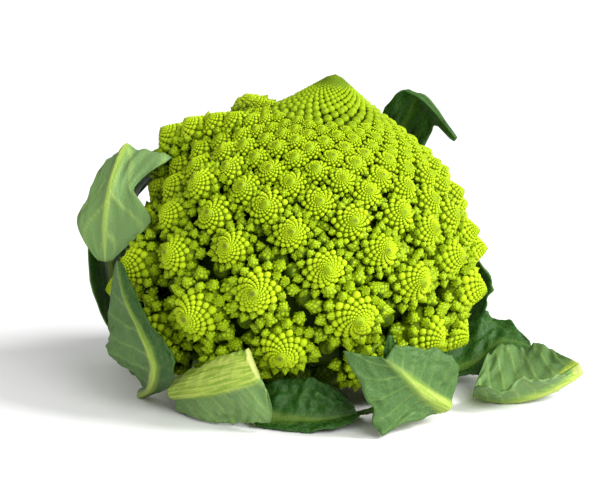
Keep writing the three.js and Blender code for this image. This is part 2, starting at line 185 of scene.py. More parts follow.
class Finish:
    """A procedural material with one principled shader."""

    # The colour sockets of a Mix node share their names with those for numbers, so they go by position
    MIX_FACTOR, MIX_FIRST, MIX_SECOND, MIX_RESULT = 0, 6, 7, 2

    def __init__(self, name, **constants):
        self.material = bpy.data.materials.new(name)
        self.material.use_nodes = True
        self.tree = self.material.node_tree
        self.tree.nodes.clear()
        self.shader = self.tree.nodes.new("ShaderNodeBsdfPrincipled")
        output = self.tree.nodes.new("ShaderNodeOutputMaterial")
        self.tree.links.new(self.shader.outputs[0], output.inputs["Surface"])
        self.set(**constants)

    def set(self, **sockets):
        for name, value in sockets.items():
            self.plug(self.shader.inputs[name.replace("_", " ")], value)

    def plug(self, socket, value):
        if isinstance(value, Value):
            self.tree.links.new(value.socket, socket)
        else:
            socket.default_value = value

    def node(self, kind, settings=None, sockets=None, output=0):
        node = self.tree.nodes.new(kind)
        for name, value in (settings or {}).items():
            setattr(node, name, value)
        for key, value in (sockets or {}).items():
            self.plug(node.inputs[key], value)
        return Value(self, node.outputs[output])

    def place(self):
        return self.node("ShaderNodeTexCoord", output="Object")

    def attribute(self, name):
        return self.node("ShaderNodeAttribute", {"attribute_name": name}, output="Fac")

    def noise(self, size, detail, place=None):
        sockets = {"Vector": place or self.place(), "Scale": 1 / size, "Detail": detail}
        return self.node("ShaderNodeTexNoise", None, sockets)

    def cells(self, size, feature="F1"):
        sockets = {"Vector": self.place(), "Scale": 1 / size}
        return self.node("ShaderNodeTexVoronoi", {"feature": feature}, sockets)

    def mix(self, factor, first, second):
        """A colour that goes from the first to the second as the factor goes from 0 to 1."""
        first, second = (
            colour if isinstance(colour, Value) else (*colour, 1.0)[:4] for colour in (first, second))
        sockets = {self.MIX_FACTOR: factor, self.MIX_FIRST: first, self.MIX_SECOND: second}
        return self.node("ShaderNodeMix", {"data_type": "RGBA"}, sockets, self.MIX_RESULT)

    def bump(self, height, distance, strength):
        sockets = {"Height": height, "Distance": distance, "Strength": strength}
        return self.node("ShaderNodeBump", None, sockets)


# Head and florets share one outline: a cone that rounds over to its widest ring and turns in under it

class Outline:
    """A surface of revolution around Z with its apex at the origin."""

    def __init__(self, slope, cone_length, shoulder_radius, underside_radius, underside_turn):
        self.slope = slope
        self.cone_length = cone_length
        self.shoulder_radius = shoulder_radius
        self.underside_radius = underside_radius
        self.shoulder_end = cone_length + shoulder_radius * slope
        self.length = self.shoulder_end + underside_radius * underside_turn

    def at(self, s):
        """Radius, depth under the apex and slope at a distance s from the apex along the surface."""
        straight = min(s, self.cone_length)
        radius = straight * math.sin(self.slope)
        depth = straight * math.cos(self.slope)
        slope = self.slope
        if s > self.cone_length:
            slope = max(0.0, self.slope - (s - self.cone_length) / self.shoulder_radius)
            radius += self.shoulder_radius * (math.cos(slope) - math.cos(self.slope))
            depth += self.shoulder_radius * (math.sin(self.slope) - math.sin(slope))
        if s > self.shoulder_end:
            turned = (s - self.shoulder_end) / self.underside_radius
            radius -= self.underside_radius * (1 - math.cos(turned))
            depth += self.underside_radius * math.sin(turned)
            slope = -turned
        return radius, depth, slope

    def frame_at(self, s, azimuth):
        """Puts a form that points along +Z on the surface, along its normal."""
        radius, depth, slope = self.at(s)
        return (
            Matrix.Rotation(azimuth, 4, "Z")
            @ Matrix.Translation((radius, 0, -depth))
            @ Matrix.Rotation(math.pi / 2 - slope, 4, "Y"))


def wrap_angle(angle):
    """The same direction as an angle between half a turn back and half a turn on."""
    return angle - math.tau * round(angle / math.tau)


def clamp(value):
    return min(1.0, max(0.0, value))


class Spiral:
    """Florets on an outline, numbered from the apex, each a golden angle on from the last.

    A floret's width is a share of its distance from the apex. That share goes from the first of the pair, at
    the apex, to the second, at the distance full_grown. No floret is wider than the widest.
    """

    # The ground that a floret takes, as a share of its width squared
    PACKING = 0.92

    def __init__(self, outline, shares, first, full_grown, widest, start_angle=0.0):
        self.outline = outline
        self.shares = shares
        self.full_grown = full_grown
        self.widest = widest
        self.start_angle = start_angle
        self.distances = [first]
        while self.distances[-1] < outline.length:
            s = self.distances[-1]
            ground = self.PACKING * self.width_at(s) ** 2
            self.distances.append(s + ground / (math.tau * outline.at(s)[0]))

    def width_at(self, s):
        grown = min(1.0, s / self.full_grown)
        return min(s * (self.shares[0] + (self.shares[1] - self.shares[0]) * grown), self.widest)

    def distance_at(self, index):
        if index <= 0:
            return 0.0
        whole = min(int(index), len(self.distances) - 2)
        return self.distances[whole] + (self.distances[whole + 1] - self.distances[whole]) * (index - whole)

    def azimuth_of(self, number):
        return number * GOLDEN_ANGLE + self.start_angle

    def frame_of(self, number):
        return self.outline.frame_at(self.distances[number], self.azimuth_of(number))

    def numbers_between(self, low, high):
        return [number for number, s in enumerate(self.distances) if low <= s < high]


# Layers that the material reads: how far out a point stands on its bead, its bud and its floret, which set
# the painted shade deep between them and the painted highlight on what stands out, how far it is from its
# floret's tip, and a random number for each floret
CURD_LAYERS = ("bead", "bud", "floret", "reach", "tint")

# A bead on its field, in sides of the field and shares of the bead's height
BEAD_INSET = 0.24
BEAD_SHOULDER = 0.72
BEAD_TOP = 0.28
BEAD_POINT = 0.9

# Farther along than any outline reaches
BEYOND = 2.0


def new_form():
    form = bmesh.new()
    for layer in CURD_LAYERS:
        form.verts.layers.float.new(layer)
    return form


def finished_mesh(form, name):
    """Turns a bmesh into a smooth mesh and frees it."""
    bmesh.ops.recalc_face_normals(form, faces=form.faces[:])
    for face in form.faces:
        face.smooth = True
    mesh = bpy.data.meshes.new(name)
    form.to_mesh(mesh)
    form.free()
    return mesh


def beaded_surface(spiral, few, many, bead_from, round_from, bead_to, last, bead_height, root_depth):
    """A surface covered in beads that stand between two crossing families of few and many spiral arms.

    It starts as a flat grid of fields, one for each bead. The fields from bead_from to bead_to are raised to
    a point, or to a rounded bead past round_from. Then the grid is rolled up on the spiral's outline, its
    seam is welded and its rim is drawn in to a point at the root's depth.
    """
    form = new_form()
    last_index = next((n for n, s in enumerate(spiral.distances) if s > last), len(spiral.distances) - 1)
    spare_rows = 3
    rows = last_index // many + few + spare_rows
    bmesh.ops.create_grid(form, x_segments=many, y_segments=rows, size=0.5)
    for vert in form.verts:
        vert.co = Vector(((vert.co.x + 0.5) * many - 0.5, (vert.co.y + 0.5) * rows - few - 0.5, 0))

    def index_at(place):
        return few * place.x + many * place.y

    outside = [face for face in form.faces
               if not -many < index_at(face.calc_center_median()) <= last_index]
    bmesh.ops.delete(form, geom=outside, context="FACES")

    def fields_between(low, high):
        return [face for face in form.faces
                if low <= spiral.distance_at(index_at(face.calc_center_median())) < high]

    pointed = fields_between(bead_from, min(round_from, bead_to))
    rounded = fields_between(round_from, bead_to)
    bmesh.ops.inset_individual(form, faces=rounded, thickness=BEAD_INSET, depth=0.0)
    for face in rounded:
        for vert in face.verts:
            vert.co.z = BEAD_SHOULDER
    bmesh.ops.poke(form, faces=pointed, offset=BEAD_POINT)
    bmesh.ops.poke(form, faces=rounded, offset=BEAD_TOP)

    bead, bud, floret, reach, _ = (form.verts.layers.float[layer] for layer in CURD_LAYERS)
    few_turn = wrap_angle(few * GOLDEN_ANGLE)
    many_turn = wrap_angle(many * GOLDEN_ANGLE)
    for vert in form.verts:
        a, b, rise = vert.co
        index = index_at(vert.co)
        s = spiral.distance_at(index)
        azimuth = few_turn * a + many_turn * b + spiral.start_angle
        height = rise * bead_height * spiral.width_at(s)
        vert.co = spiral.outline.frame_at(s, azimuth) @ Vector((0, 0, height))
        vert[bead] = rise
        vert[bud] = 1.0
        vert[floret] = 0.0
        vert[reach] = s
    weld = spiral.distances[0] * 0.02
    bmesh.ops.remove_doubles(form, verts=form.verts[:], dist=weld)
    rim = [edge for edge in form.edges if edge.is_boundary]
    skirt = bmesh.ops.extrude_edge_only(form, edges=rim)["geom"]
    skirt_verts = [item for item in skirt if isinstance(item, bmesh.types.BMVert)]
    for vert in skirt_verts:
        vert[bead] = 0.0
    bmesh.ops.pointmerge(form, verts=skirt_verts, merge_co=Vector((0, 0, -root_depth)))
    return form


def add_copy(form, mesh, place):
    copy = mesh.copy()
    copy.transform(place)
    form.from_mesh(copy)
    bpy.data.meshes.remove(copy)


def any_turn(chance):
    """A turn round Z by a random angle."""
    return Matrix.Rotation(chance.uniform(0, math.tau), 4, "Z")


def bud_mesh(name, few, many, share):
    """A pointed bud of width 1 on Z = 0, covered in tiny beads."""
    outline = Outline(
        math.radians(31), cone_length=0.80, shoulder_radius=0.22, underside_radius=0.4, underside_turn=0.3)
    spiral = Spiral(outline, (share, share), first=0.16, full_grown=1.0, widest=1.0)
    form = beaded_surface(
        spiral, few, many, bead_from=0.2, round_from=BEYOND, bead_to=BEYOND, last=0.90, bead_height=0.34,
        root_depth=1.3)
    height = 1.0
    bmesh.ops.translate(form, verts=form.verts[:], vec=(0, 0, height))
    bud = form.verts.layers.float["bud"]
    for vert in form.verts:
        vert[bud] = clamp(vert.co.z / height)
    return finished_mesh(form, name)


def ball_mesh(name, around, rings, hidden_below):
    """A bead of width 1 standing on Z = 0, its hidden underside drawn together to a point."""
    root_depth = 0.45
    raised = 0.14
    shaded_height = 0.45
    form = new_form()
    bmesh.ops.create_uvsphere(form, u_segments=around, v_segments=rings, radius=0.5)
    hidden = [vert for vert in form.verts if vert.co.z < hidden_below]
    bmesh.ops.pointmerge(form, verts=hidden, merge_co=Vector((0, 0, -root_depth)))
    bmesh.ops.translate(form, verts=form.verts[:], vec=(0, 0, raised))
    bead = form.verts.layers.float["bead"]
    bud = form.verts.layers.float["bud"]
    for vert in form.verts:
        vert[bead] = clamp(vert.co.z / shaded_height)
        vert[bud] = 1.0
    return finished_mesh(form, name)


def pearl_mesh(name):
    """A plain round floret of width 1 on Z = 0, with a blunt point."""
    root_depth = 0.3
    point = 0.58
    near_pole = 0.49
    form = new_form()
    bmesh.ops.create_uvsphere(form, u_segments=10, v_segments=8, radius=0.5)
    hidden = [vert for vert in form.verts if vert.co.z < -root_depth]
    bmesh.ops.pointmerge(form, verts=hidden, merge_co=Vector((0, 0, -root_depth)))
    bead, bud, floret, reach, _ = (form.verts.layers.float[layer] for layer in CURD_LAYERS)
    for vert in form.verts:
        if vert.co.z > near_pole:
            vert.co.z = point
        vert[bead] = clamp(vert.co.z / root_depth)
        vert[bud] = 1.0
        # A fixed low floret layer paints the pearls partly in shade
        vert[floret] = 0.26
        vert[reach] = 1.0
    return finished_mesh(form, name)


# Florets of width 1. The crown's relief starts at the distance crown from the tip, round beads take over at
# balls_from, and buds at beads_end.
FLORET_SHAPES = {
    "ball": dict(
        slope=62, cone=0.15, shoulder=0.50, height=0.64, shares=(0.26, 0.34), first=0.10, crown=0.22,
        balls_from=BEYOND, beads_end=BEYOND, bead_height=0.5),
    "nubbed": dict(
        slope=50, cone=0.30, shoulder=0.50, height=0.76, shares=(0.28, 0.39), first=0.07, crown=0.12,
        balls_from=0.30, beads_end=BEYOND, bead_height=0.66),
    "budding": dict(
        slope=42, cone=0.46, shoulder=0.42, height=0.84, shares=(0.25, 0.36), first=0.06, crown=0.08,
        balls_from=0.20, beads_end=0.62, bead_height=0.66),
    "grown": dict(
        slope=38, cone=0.60, shoulder=0.32, height=0.90, shares=(0.21, 0.33), first=0.05, crown=0.06,
        balls_from=0.15, beads_end=0.54, bead_height=0.66),
}
# How wide the florets of a kind may be, in metres, from the smallest kind up
WIDEST_OF_KIND = {"pearl": 0.0036, "ball": 0.0052, "nubbed": 0.0108, "budding": 0.0170, "grown": math.inf}


def floret_kind(width):
    return next(kind for kind, widest in WIDEST_OF_KIND.items() if width < widest)


def floret_mesh(name, chance, ball, bud=None):
    """A floret of width 1 on Z = 0: a finely beaded crown, then round beads, then buds with beads."""
    shape = FLORET_SHAPES[name]
    outline = Outline(
        math.radians(shape["slope"]), shape["cone"], shape["shoulder"], underside_radius=0.4,
        underside_turn=0.5)
    spiral = Spiral(
        outline, shape["shares"], shape["first"], full_grown=0.9, widest=1.0,
        start_angle=chance.uniform(0, math.tau))
    last = 0.88
    form = beaded_surface(
        spiral, 8, 13, bead_from=shape["crown"], round_from=BEYOND, bead_to=shape["balls_from"], last=last,
        bead_height=shape["bead_height"], root_depth=1.0)
    for number in spiral.numbers_between(shape["balls_from"], min(shape["beads_end"], last)):
        width = spiral.width_at(spiral.distances[number]) * chance.uniform(0.98, 1.12)
        place = spiral.frame_of(number) @ any_turn(chance) @ Matrix.Scale(width, 4)
        add_copy(form, ball, place)
    if bud:
        overlap = 0.02
        last_bud = 0.87
        for number in spiral.numbers_between(shape["beads_end"] - overlap, last_bud):
            width = spiral.width_at(spiral.distances[number]) * chance.uniform(1.02, 1.22)
            lean = Matrix.Rotation(chance.uniform(-0.25, 0.10), 4, "Y")
            place = spiral.frame_of(number) @ lean @ any_turn(chance) @ Matrix.Scale(width, 4)
            add_copy(form, bud, place)

    height = shape["height"]
    blunt_radius = 0.13
    blunt_depth = 0.045
    underside = -0.3
    for vert in form.verts:
        from_axis = vert.co.xy.length
        if from_axis < blunt_radius and vert.co.z > underside:
            vert.co.z -= blunt_depth * (1 - from_axis / blunt_radius) ** 2
    bmesh.ops.translate(form, verts=form.verts[:], vec=(0, 0, height))
    floret = form.verts.layers.float["floret"]
    reach = form.verts.layers.float["reach"]
    for vert in form.verts:
        vert[floret] = clamp(vert.co.z / height)
        vert[reach] = (vert.co - Vector((0, 0, height))).length
    return finished_mesh(form, name)


def bell(value, low, high):
    """Rises from 0 at low to 1 halfway and falls to 0 at high."""
    return math.sin(math.pi * clamp((value - low) / (high - low)))


def head_spiral(sizes):
    outline = Outline(
        sizes.cone_slope, sizes.cone_length, sizes.shoulder_radius, sizes.underside_radius,
        underside_turn=math.radians(52))
    return Spiral(
        outline, shares=(0.13, 0.22), first=0.0045, full_grown=0.117, widest=sizes.widest_floret,
        start_angle=sizes.spiral_start)


def head_place(sizes):
    """The head leans to the right, and its rings shift to the left the lower they are."""
    shift = Matrix(((1, 0, sizes.shift, 0), (0, 1, 0, 0), (0, 0, 1, 0), (0, 0, 0, 1)))
    return Matrix.Translation((sizes.apex_x, 0, sizes.height)) @ Matrix.Rotation(sizes.lean, 4, "Y") @ shift


def add_piece(mesh, name, material, node):
    piece = bpy.data.objects.new(name, mesh)
    bpy.context.scene.collection.objects.link(piece)
    mesh.materials.append(material)
    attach(piece, "root")
    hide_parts(node)


def curd_finish(colours):
    finish = Finish(
        "curd skin", Subsurface_Weight=0.12, Subsurface_Radius=(1.0, 1.0, 0.1), Subsurface_Scale=0.0012,
        Specular_IOR_Level=0.12)
    bead, bud, floret, reach, tint = (finish.attribute(layer) for layer in CURD_LAYERS)
    mottle = finish.noise(0.012, 3.0)
    grain = finish.noise(0.0006, 2.0)
    # What stands in between beads, buds and florets is in the shade
    open_air = (0.5 + 0.5 * bead.between(0.0, 0.6)) * (0.3 + 0.7 * bud.between(0.0, 0.5))
    light = open_air * (0.4 + 0.6 * floret.between(0.0, 0.5))
    # Painted shade in the crevice colour where little stands in the open, and a painted highlight in the tip
    # colour where most does
    body = finish.mix(light.between(0.12, 0.88), colours.crevice, colours.body)
    lit = finish.mix(light.between(0.75, 1.0) * (0.1 + 0.7 * mottle), body, colours.tip)
    # Four florets in ten have a weathered tip
    pit = (1 - reach.between(0.05, 0.10)) * (tint > 0.6)
    worn = finish.mix(pit * 0.85, lit, colours.pit)
    finish.set(
        Base_Color=worn,
        Roughness=0.5 + 0.16 * grain,
        Normal=finish.bump(grain, 0.0002, 0.5))
    return finish.material


def floret_meshes(chance):
    """A few meshes of each kind of floret, so that neighbours differ."""
    small_bud = bud_mesh("small bud", 3, 5, 0.60)
    bud = bud_mesh("bud", 5, 8, 0.42)
    small_ball = ball_mesh("small ball", 6, 5, -0.1)
    ball = ball_mesh("ball", 7, 6, -0.2)
    return {
        "pearl": [pearl_mesh("pearl")],
        "ball": [floret_mesh("ball", chance, small_ball)],
        "nubbed": [floret_mesh("nubbed", chance, small_ball) for _ in range(2)],
        "budding": [floret_mesh("budding", chance, small_ball, small_bud) for _ in range(2)],
        "grown": [floret_mesh("grown", chance, ball, bud) for _ in range(3)],
    }


class Curd:
    """The curd's pieces while they are made, each a bmesh under its name."""

    # Where the first florets stand that are meshes of their own, from the apex
    PEARLS_FROM = 0.009
    # Grown florets in one piece, which keeps a piece's triangles down
    GROWN_IN_PIECE = 14
    PIECE_OF_KIND = {
        "pearl": "curd_top", "ball": "curd_top", "nubbed": "curd_collar", "budding": "curd_shoulder"}

    def __init__(self, sizes):
        self.uneven = sizes.jitter
        self.chance = random.Random(SEED)
        self.spiral = head_spiral(sizes)
        self.head = head_place(sizes)
        self.kinds = floret_meshes(self.chance)
        self.pieces = {}

    def uneven_place(self, base, width):
        """Where a floret of about that width stands: a little beside its base, tilted and turned."""
        chance, uneven = self.chance, self.uneven
        most_aside = 0.07

        def aside():
            return chance.uniform(-most_aside, most_aside) * width

        def tilt(axis):
            return Matrix.Rotation(chance.uniform(-uneven, uneven), 4, axis)

        return (
            self.head @ base @ Matrix.Translation((aside(), aside(), 0)) @ tilt("X") @ tilt("Y")
            @ any_turn(chance) @ Matrix.Scale(width * chance.uniform(1 - uneven, 1 + uneven), 4))

    def stand(self, kind, base, width, piece, depth=1.0):
        """Adds a floret to the piece of that name. A depth below 1 paints all of it in shade."""
        place = self.uneven_place(base, width)
        mesh = self.chance.choice(self.kinds[kind]).copy()
        mesh.transform(place)
        count = len(mesh.vertices)
        mesh.attributes["tint"].data.foreach_set("value", [self.chance.random()] * count)
        if depth < 1.0:
            mesh.attributes["floret"].data.foreach_set("value", [depth] * count)
        if piece not in self.pieces:
            self.pieces[piece] = new_form()
        self.pieces[piece].from_mesh(mesh)
        bpy.data.meshes.remove(mesh)

    def add_tip(self):
        """The tiniest florets, raised from one surface up to the blunt apex."""
        overlap = 0.002
        tip = beaded_surface(
            self.spiral, 13, 21, bead_from=0.0, round_from=0.0, bead_to=BEYOND,
            last=self.PEARLS_FROM + overlap, bead_height=0.6, root_depth=0.03)
        floret = tip.verts.layers.float["floret"]
        reach = tip.verts.layers.float["reach"]
        blunt_radius = 0.0035
        blunt_depth = 0.0012
        for vert in tip.verts:
            # A low floret layer paints the tip in shade, darkest at the apex
            vert[floret] = 0.12 * min(1.0, vert[reach] / self.PEARLS_FROM) ** 2
            vert[reach] = 1.0
            vert.co.z -= blunt_depth * max(0.0, 1 - vert.co.xy.length / blunt_radius) ** 2
        bmesh.ops.transform(tip, matrix=self.head, verts=tip.verts[:])
        self.pieces["curd_tip"] = tip

    def add_florets(self):
        """Every floret of the spiral that is a mesh of its own, each kind in its own pieces."""
        spiral = self.spiral
        crowding = 1.06
        grown = 0
        for number in spiral.numbers_between(self.PEARLS_FROM, spiral.outline.length):
            s = spiral.distances[number]
            azimuth = math.degrees(spiral.azimuth_of(number) % math.tau)
            # Behind on the left the florets have outgrown the others, one in three most of all
            outgrown = bell(s, 0.028, 0.092) * bell(azimuth, 75, 235)
            growth, lift = (0.95, 0.006) if number % 3 == 0 else (0.10, 0.003)
            width = spiral.width_at(s) * (1 + outgrown * growth)
            base = spiral.frame_of(number) @ Matrix.Translation((0, 0, lift * outgrown))
            kind = floret_kind(width)
            if kind == "grown":
                piece = f"curd_florets_{grown // self.GROWN_IN_PIECE + 1}"
                grown += 1
            else:
                piece = self.PIECE_OF_KIND[kind]
            self.stand(kind, base, width * crowding, piece)

    def add_gap_florets(self):
        """Small florets in the gaps between four large ones, painted in deep shade."""
        spiral = self.spiral
        gaps_from = 0.075
        # The middle of a gap is half way to the neighbour that is this many numbers on
        neighbour = 21
        share_of_floret = 0.42
        for number in spiral.numbers_between(gaps_from, spiral.outline.length):
            s = spiral.distance_at(number + neighbour / 2)
            azimuth = spiral.azimuth_of(number) + wrap_angle(neighbour * GOLDEN_ANGLE) / 2
            width = spiral.width_at(s) * share_of_floret
            base = spiral.outline.frame_at(s, azimuth) @ Matrix.Translation((0, 0, width * 0.1))
            self.stand("ball", base, width, "curd_gaps", depth=0.16)

    def add_lowest_ring(self):
        """Florets underneath, round the stalk, in two rows that take turns."""
        count = 22
        width = 0.014
        row = 0.006
        outline = self.spiral.outline
        for number in range(count):
            s = outline.length + row + row * (number % 2)
            base = outline.frame_at(s, number * math.tau / count)
            # Painted in deep shade, as they stand underneath
            self.stand("ball", base, width, "curd_gaps", depth=0.08)

    def add_core(self):
        """The body that the florets stand on, seen only deep between them and painted in the crevice's shade.
        """
        outline = self.spiral.outline
        steps = 24
        inset = 0.0012
        inset_of_apex = 0.004
        core = new_form()
        profile = []
        for step in range(steps + 1):
            radius, depth, slope = outline.at(outline.length * step / steps)
            sunk = inset if step else inset_of_apex
            profile.append(core.verts.new((max(0.0, radius - inset * math.cos(slope)), 0, -depth - sunk)))
        profile.append(core.verts.new((0, 0, profile[-1].co.z)))
        edges = [core.edges.new(pair) for pair in zip(profile, profile[1:])]
        bmesh.ops.spin(
            core, geom=profile + edges, cent=(0, 0, 0), axis=(0, 0, 1), angle=math.tau, steps=48,
            use_merge=True, use_duplicate=False)
        bmesh.ops.remove_doubles(core, verts=core.verts[:], dist=1e-5)
        bmesh.ops.transform(core, matrix=self.head, verts=core.verts[:])
        self.pieces["curd_core"] = core


class ROMANESCO_OT_curd(bpy.types.Operator):
    """The fractal curd: the tiny florets of the tip, ever larger ones below, and the core under them"""

    bl_idname = "romanesco.curd"
    bl_label = "Curd"

    def execute(self, context):
        material = curd_finish(context.scene.romanesco_curd)
        curd = Curd(context.scene.romanesco_head)
        curd.add_tip()
        curd.add_florets()
        curd.add_gap_florets()
        curd.add_lowest_ring()
        curd.add_core()
        for name, form in curd.pieces.items():
            add_piece(finished_mesh(form, name), name, material, "curd")
        return {"FINISHED"}


# Leaves

class SmoothCurve:
    """A smooth curve through its points, from 0 at the first to 1 at the last."""

    def __init__(self, points):
        self.points = [Vector(point) * MM for point in points]

    def at(self, u):
        last = len(self.points) - 1
        along = min(max(u, 0.0), 1.0) * last
        start = min(int(along), last - 1)
        t = along - start
        here, there = self.points[start], self.points[start + 1]
        before = self.points[start - 1] if start else 2 * here - there
        after = self.points[start + 2] if start + 2 <= last else 2 * there - here
        leave = (there - before) / 2
        arrive = (after - here) / 2
        return (
            here + leave * t + (3 * (there - here) - 2 * leave - arrive) * t ** 2
            + (2 * (here - there) + leave + arrive) * t ** 3)


def base_at_stalk(azimuth_degrees):
    """The base of a leaf that grows from the stalk: left, middle and right, in millimetres."""
    from_axis = 22
    height = 7
    to_the_right = height * math.tan(math.radians(10))
    half_width = 6
    azimuth = math.radians(azimuth_degrees)
    out = Vector((math.cos(azimuth), math.sin(azimuth), 0))
    side = Vector((-out.y, out.x, 0)) * half_width
    middle = out * from_axis + Vector((to_the_right, 0, height))
    return [tuple(middle + side), tuple(middle), tuple(middle - side)]


# Each leaf's left margin, midrib and right margin from its base to its end, in millimetres. base is the
# azimuth in degrees at which it grows from the stalk, and a leaf without one shows a cut. rib is the midrib's
# height, wave the ripples' height and waves their number. dark turns the underside's green to the upper
# side's: partly the deeper green of an upper side that shows, partly painted shade on a leaf in shadow.
# dark_left does so on the left half, as painted shade on its shadow side, and upper_tone is the upper side's
# share of its own green. stem broadens the midrib over the right half, and round_end rounds the leaf's end.
LEAVES = {
    "leaf_left_upper": dict(
        base=150,
        left=[(-44, 20, 6), (-82, 36, 14), (-93, 22, 60), (-83, 6, 102), (-89, -8, 90), (-96, -13, 79),
              (-90, -15, 62)],
        spine=[(-48, 29, 6), (-78, 46, 16), (-87, 40, 62), (-74, 5, 108), (-79, -14, 97), (-82, -20, 80),
               (-82, -19, 62)],
        right=[(-52, 38, 6), (-72, 58, 16), (-76, 60, 66), (-52, -9, 107), (-69, -18, 95), (-61, -28, 82),
               (-76, -22, 63)],
        wave=2, slot="leaf"),
    "leaf_left_lower": dict(
        dark=0.62, dark_left=1.0,
        left=[(-63, -20, 2), (-54, -47, 11), (-49, -68, 25), (-53, -66, 36), (-65, -55, 50), (-72, -42, 65)],
        spine=[(-67, -18, 3), (-61, -40, 12), (-58, -57, 25), (-63, -56, 38), (-71, -47, 52), (-75, -38, 66)],
        right=[(-69, -14, 2), (-66, -30, 9), (-79, -36, 22), (-81, -37, 32), (-79, -36, 46), (-78, -34, 62)],
        wave=1, slot="leaf"),
    "leaf_front_left": dict(
        left=[(-50, -46, 1), (-38, -62, 1), (-24, -68, 1), (-14, -76, 4), (-4, -79, 4)],
        spine=[(-51, -44, 7), (-41, -59, 13), (-31, -70, 19), (-23, -78, 24), (-14, -82, 28)],
        right=[(-48, -46, 17), (-40, -58, 24), (-31, -69, 31), (-24, -77, 35), (-18, -81, 38)],
        rib=4, stem=True, slot="leaf_rib"),
    "leaf_front_low": dict(
        dark=1.0,
        left=[(-16, -56, 13), (0, -59, 20), (14, -59, 17), (25, -57, 10)],
        spine=[(-17, -64, 3), (0, -69, 3), (15, -68, 3), (28, -62, 4)],
        right=[(-16, -70, 1), (1, -78, 1), (16, -79, 2), (31, -68, 5)],
        rib=1, wave=1, slot="leaf_dark"),
    "leaf_front_right": dict(
        dark=0.80, round_end=False,
        left=[(68, -58, 9), (72, -58, 24), (63, -67, 34), (54, -77, 37), (43, -88, 41)],
        spine=[(65, -62, 8), (58, -70, 14), (52, -79, 21), (46, -85, 28), (39, -89, 35)],
        right=[(61, -64, 5), (47, -80, 4), (36, -87, 2), (31, -89, 16), (21, -87, 38)],
        wave=1, slot="leaf"),
    "leaf_right": dict(
        upper_tone=0.4,
        left=[(123, -27, 13), (114, -42, 15), (101, -48, 16), (90, -50, 11), (80, -46, 14)],
        spine=[(128, -22, 16), (114, -28, 8), (100, -32, 4), (88, -32, 3), (80, -30, 4)],
        right=[(124, -16, 17), (115, -3, 19), (104, 5, 18), (93, 4, 18), (86, -8, 15)],
        rib=5, wave=1, slot="leaf"),
    "leaf_right_back": dict(
        dark=1.0,
        base=8,
        left=[(50, 16, 6), (80, 22, 26), (94, 26, 27), (108, 18, 20)],
        spine=[(52, 8, 5), (82, 8, 8), (96, 12, 18), (110, 10, 16)],
        right=[(52, 0, 5), (80, -2, 4), (95, 1, 12), (108, 2, 12)],
        wave=3, waves=4, slot="leaf_dark"),
    "leaf_back_right": dict(
        dark=1.0,
        base=79,
        left=[(10, 56, 6), (6, 92, 18), (14, 90, 62), (36, 66, 102), (44, 46, 122), (54, 38, 131),
              (74, 27, 112)],
        spine=[(17, 54, 6), (26, 90, 18), (36, 88, 62), (48, 66, 100), (54, 52, 116), (60, 39, 128),
               (75, 27, 110)],
        right=[(24, 53, 6), (46, 84, 18), (60, 78, 60), (62, 62, 94), (64, 52, 106), (67, 39, 114),
               (73, 28, 107)],
        wave=1.5, slot="leaf_dark"),
    "leaf_inner": dict(
        dark=1.0,
        left=[(27, -56, 2), (35, -72, 10), (37, -82, 25), (39, -84, 43)],
        spine=[(30, -55, 2), (38, -71, 10), (41, -81, 25), (41, -84, 44)],
        right=[(33, -54, 2), (41, -70, 10), (45, -80, 25), (43, -83, 43)],
        rib=1, slot="leaf_dark"),
    "leaf_back_left": dict(
        dark=0.5,
        base=114,
        left=[(-26, 46, 6), (-58, 70, 12), (-60, 78, 36), (-48, 78, 56)],
        spine=[(-20, 50, 6), (-38, 84, 12), (-42, 92, 36), (-36, 88, 58)],
        right=[(-13, 53, 6), (-14, 92, 12), (-20, 96, 36), (-22, 92, 54)],
        wave=2, slot="leaf"),
    "leaf_back": dict(
        dark=0.5,
        base=44,
        left=[(34, 42, 6), (54, 74, 12), (62, 76, 34), (68, 72, 50)],
        spine=[(41, 35, 6), (70, 60, 12), (82, 62, 34), (82, 58, 52)],
        right=[(46, 28, 6), (84, 40, 12), (94, 42, 34), (90, 46, 50)],
        wave=2, slot="leaf"),
}


LEAF_LAYERS = ("along", "across", "upper", "vein", "rib", "dark", "cut")


def leaf_finish(settings):
    finish = Finish("leaf skin", Specular_IOR_Level=0.25)
    along, across, upper, vein, rib, dark, cut = (finish.attribute(layer) for layer in LEAF_LAYERS)
    mottle = finish.noise(0.02, 4.0)
    net = finish.cells(0.0022, "DISTANCE_TO_EDGE").between(0.0, 0.12)
    side = finish.mix(upper, settings.underside, settings.upper_side)
    # dark paints the blade toward the upper side's deep green: partly that side's own colour, partly painted
    # shade
    shade = finish.mix(dark * 0.9, side, settings.upper_side)
    blade = finish.mix(mottle.between(0.35, 0.7) * 0.3 * (1 - dark), shade, settings.mottle)
    netted = finish.mix((1 - net) * 0.08, blade, settings.vein)
    veins = (1 - across.absolute().between(0.03, 0.10)).maximum(vein)
    veined = finish.mix(veins * (0.7 - 0.35 * upper) * (1 - 0.8 * dark), netted, settings.vein)
    lengthwise = finish.node("ShaderNodeCombineXYZ", None, {"X": across * 0.05, "Y": along * 0.01})
    streak = finish.noise(0.004, 3.0, lengthwise)
    stem = finish.mix(streak.between(0.35, 0.65), settings.stem_green, settings.stem_pale)
    ribbed = finish.mix(rib, veined, stem)
    finish.set(
        Base_Color=finish.mix(cut, ribbed, settings.cut),
        Roughness=0.42 + 0.2 * mottle,
        Normal=finish.bump(net, 0.0003, 0.4))
    return finish.material


# How deep a margin is torn, as a share of the way to the midrib
TORN = 0.16
# Where along a blade its end begins to round off, and the share of its squared width that the end loses
ROUND_FROM = 0.88
ROUND_LOSS = 0.8


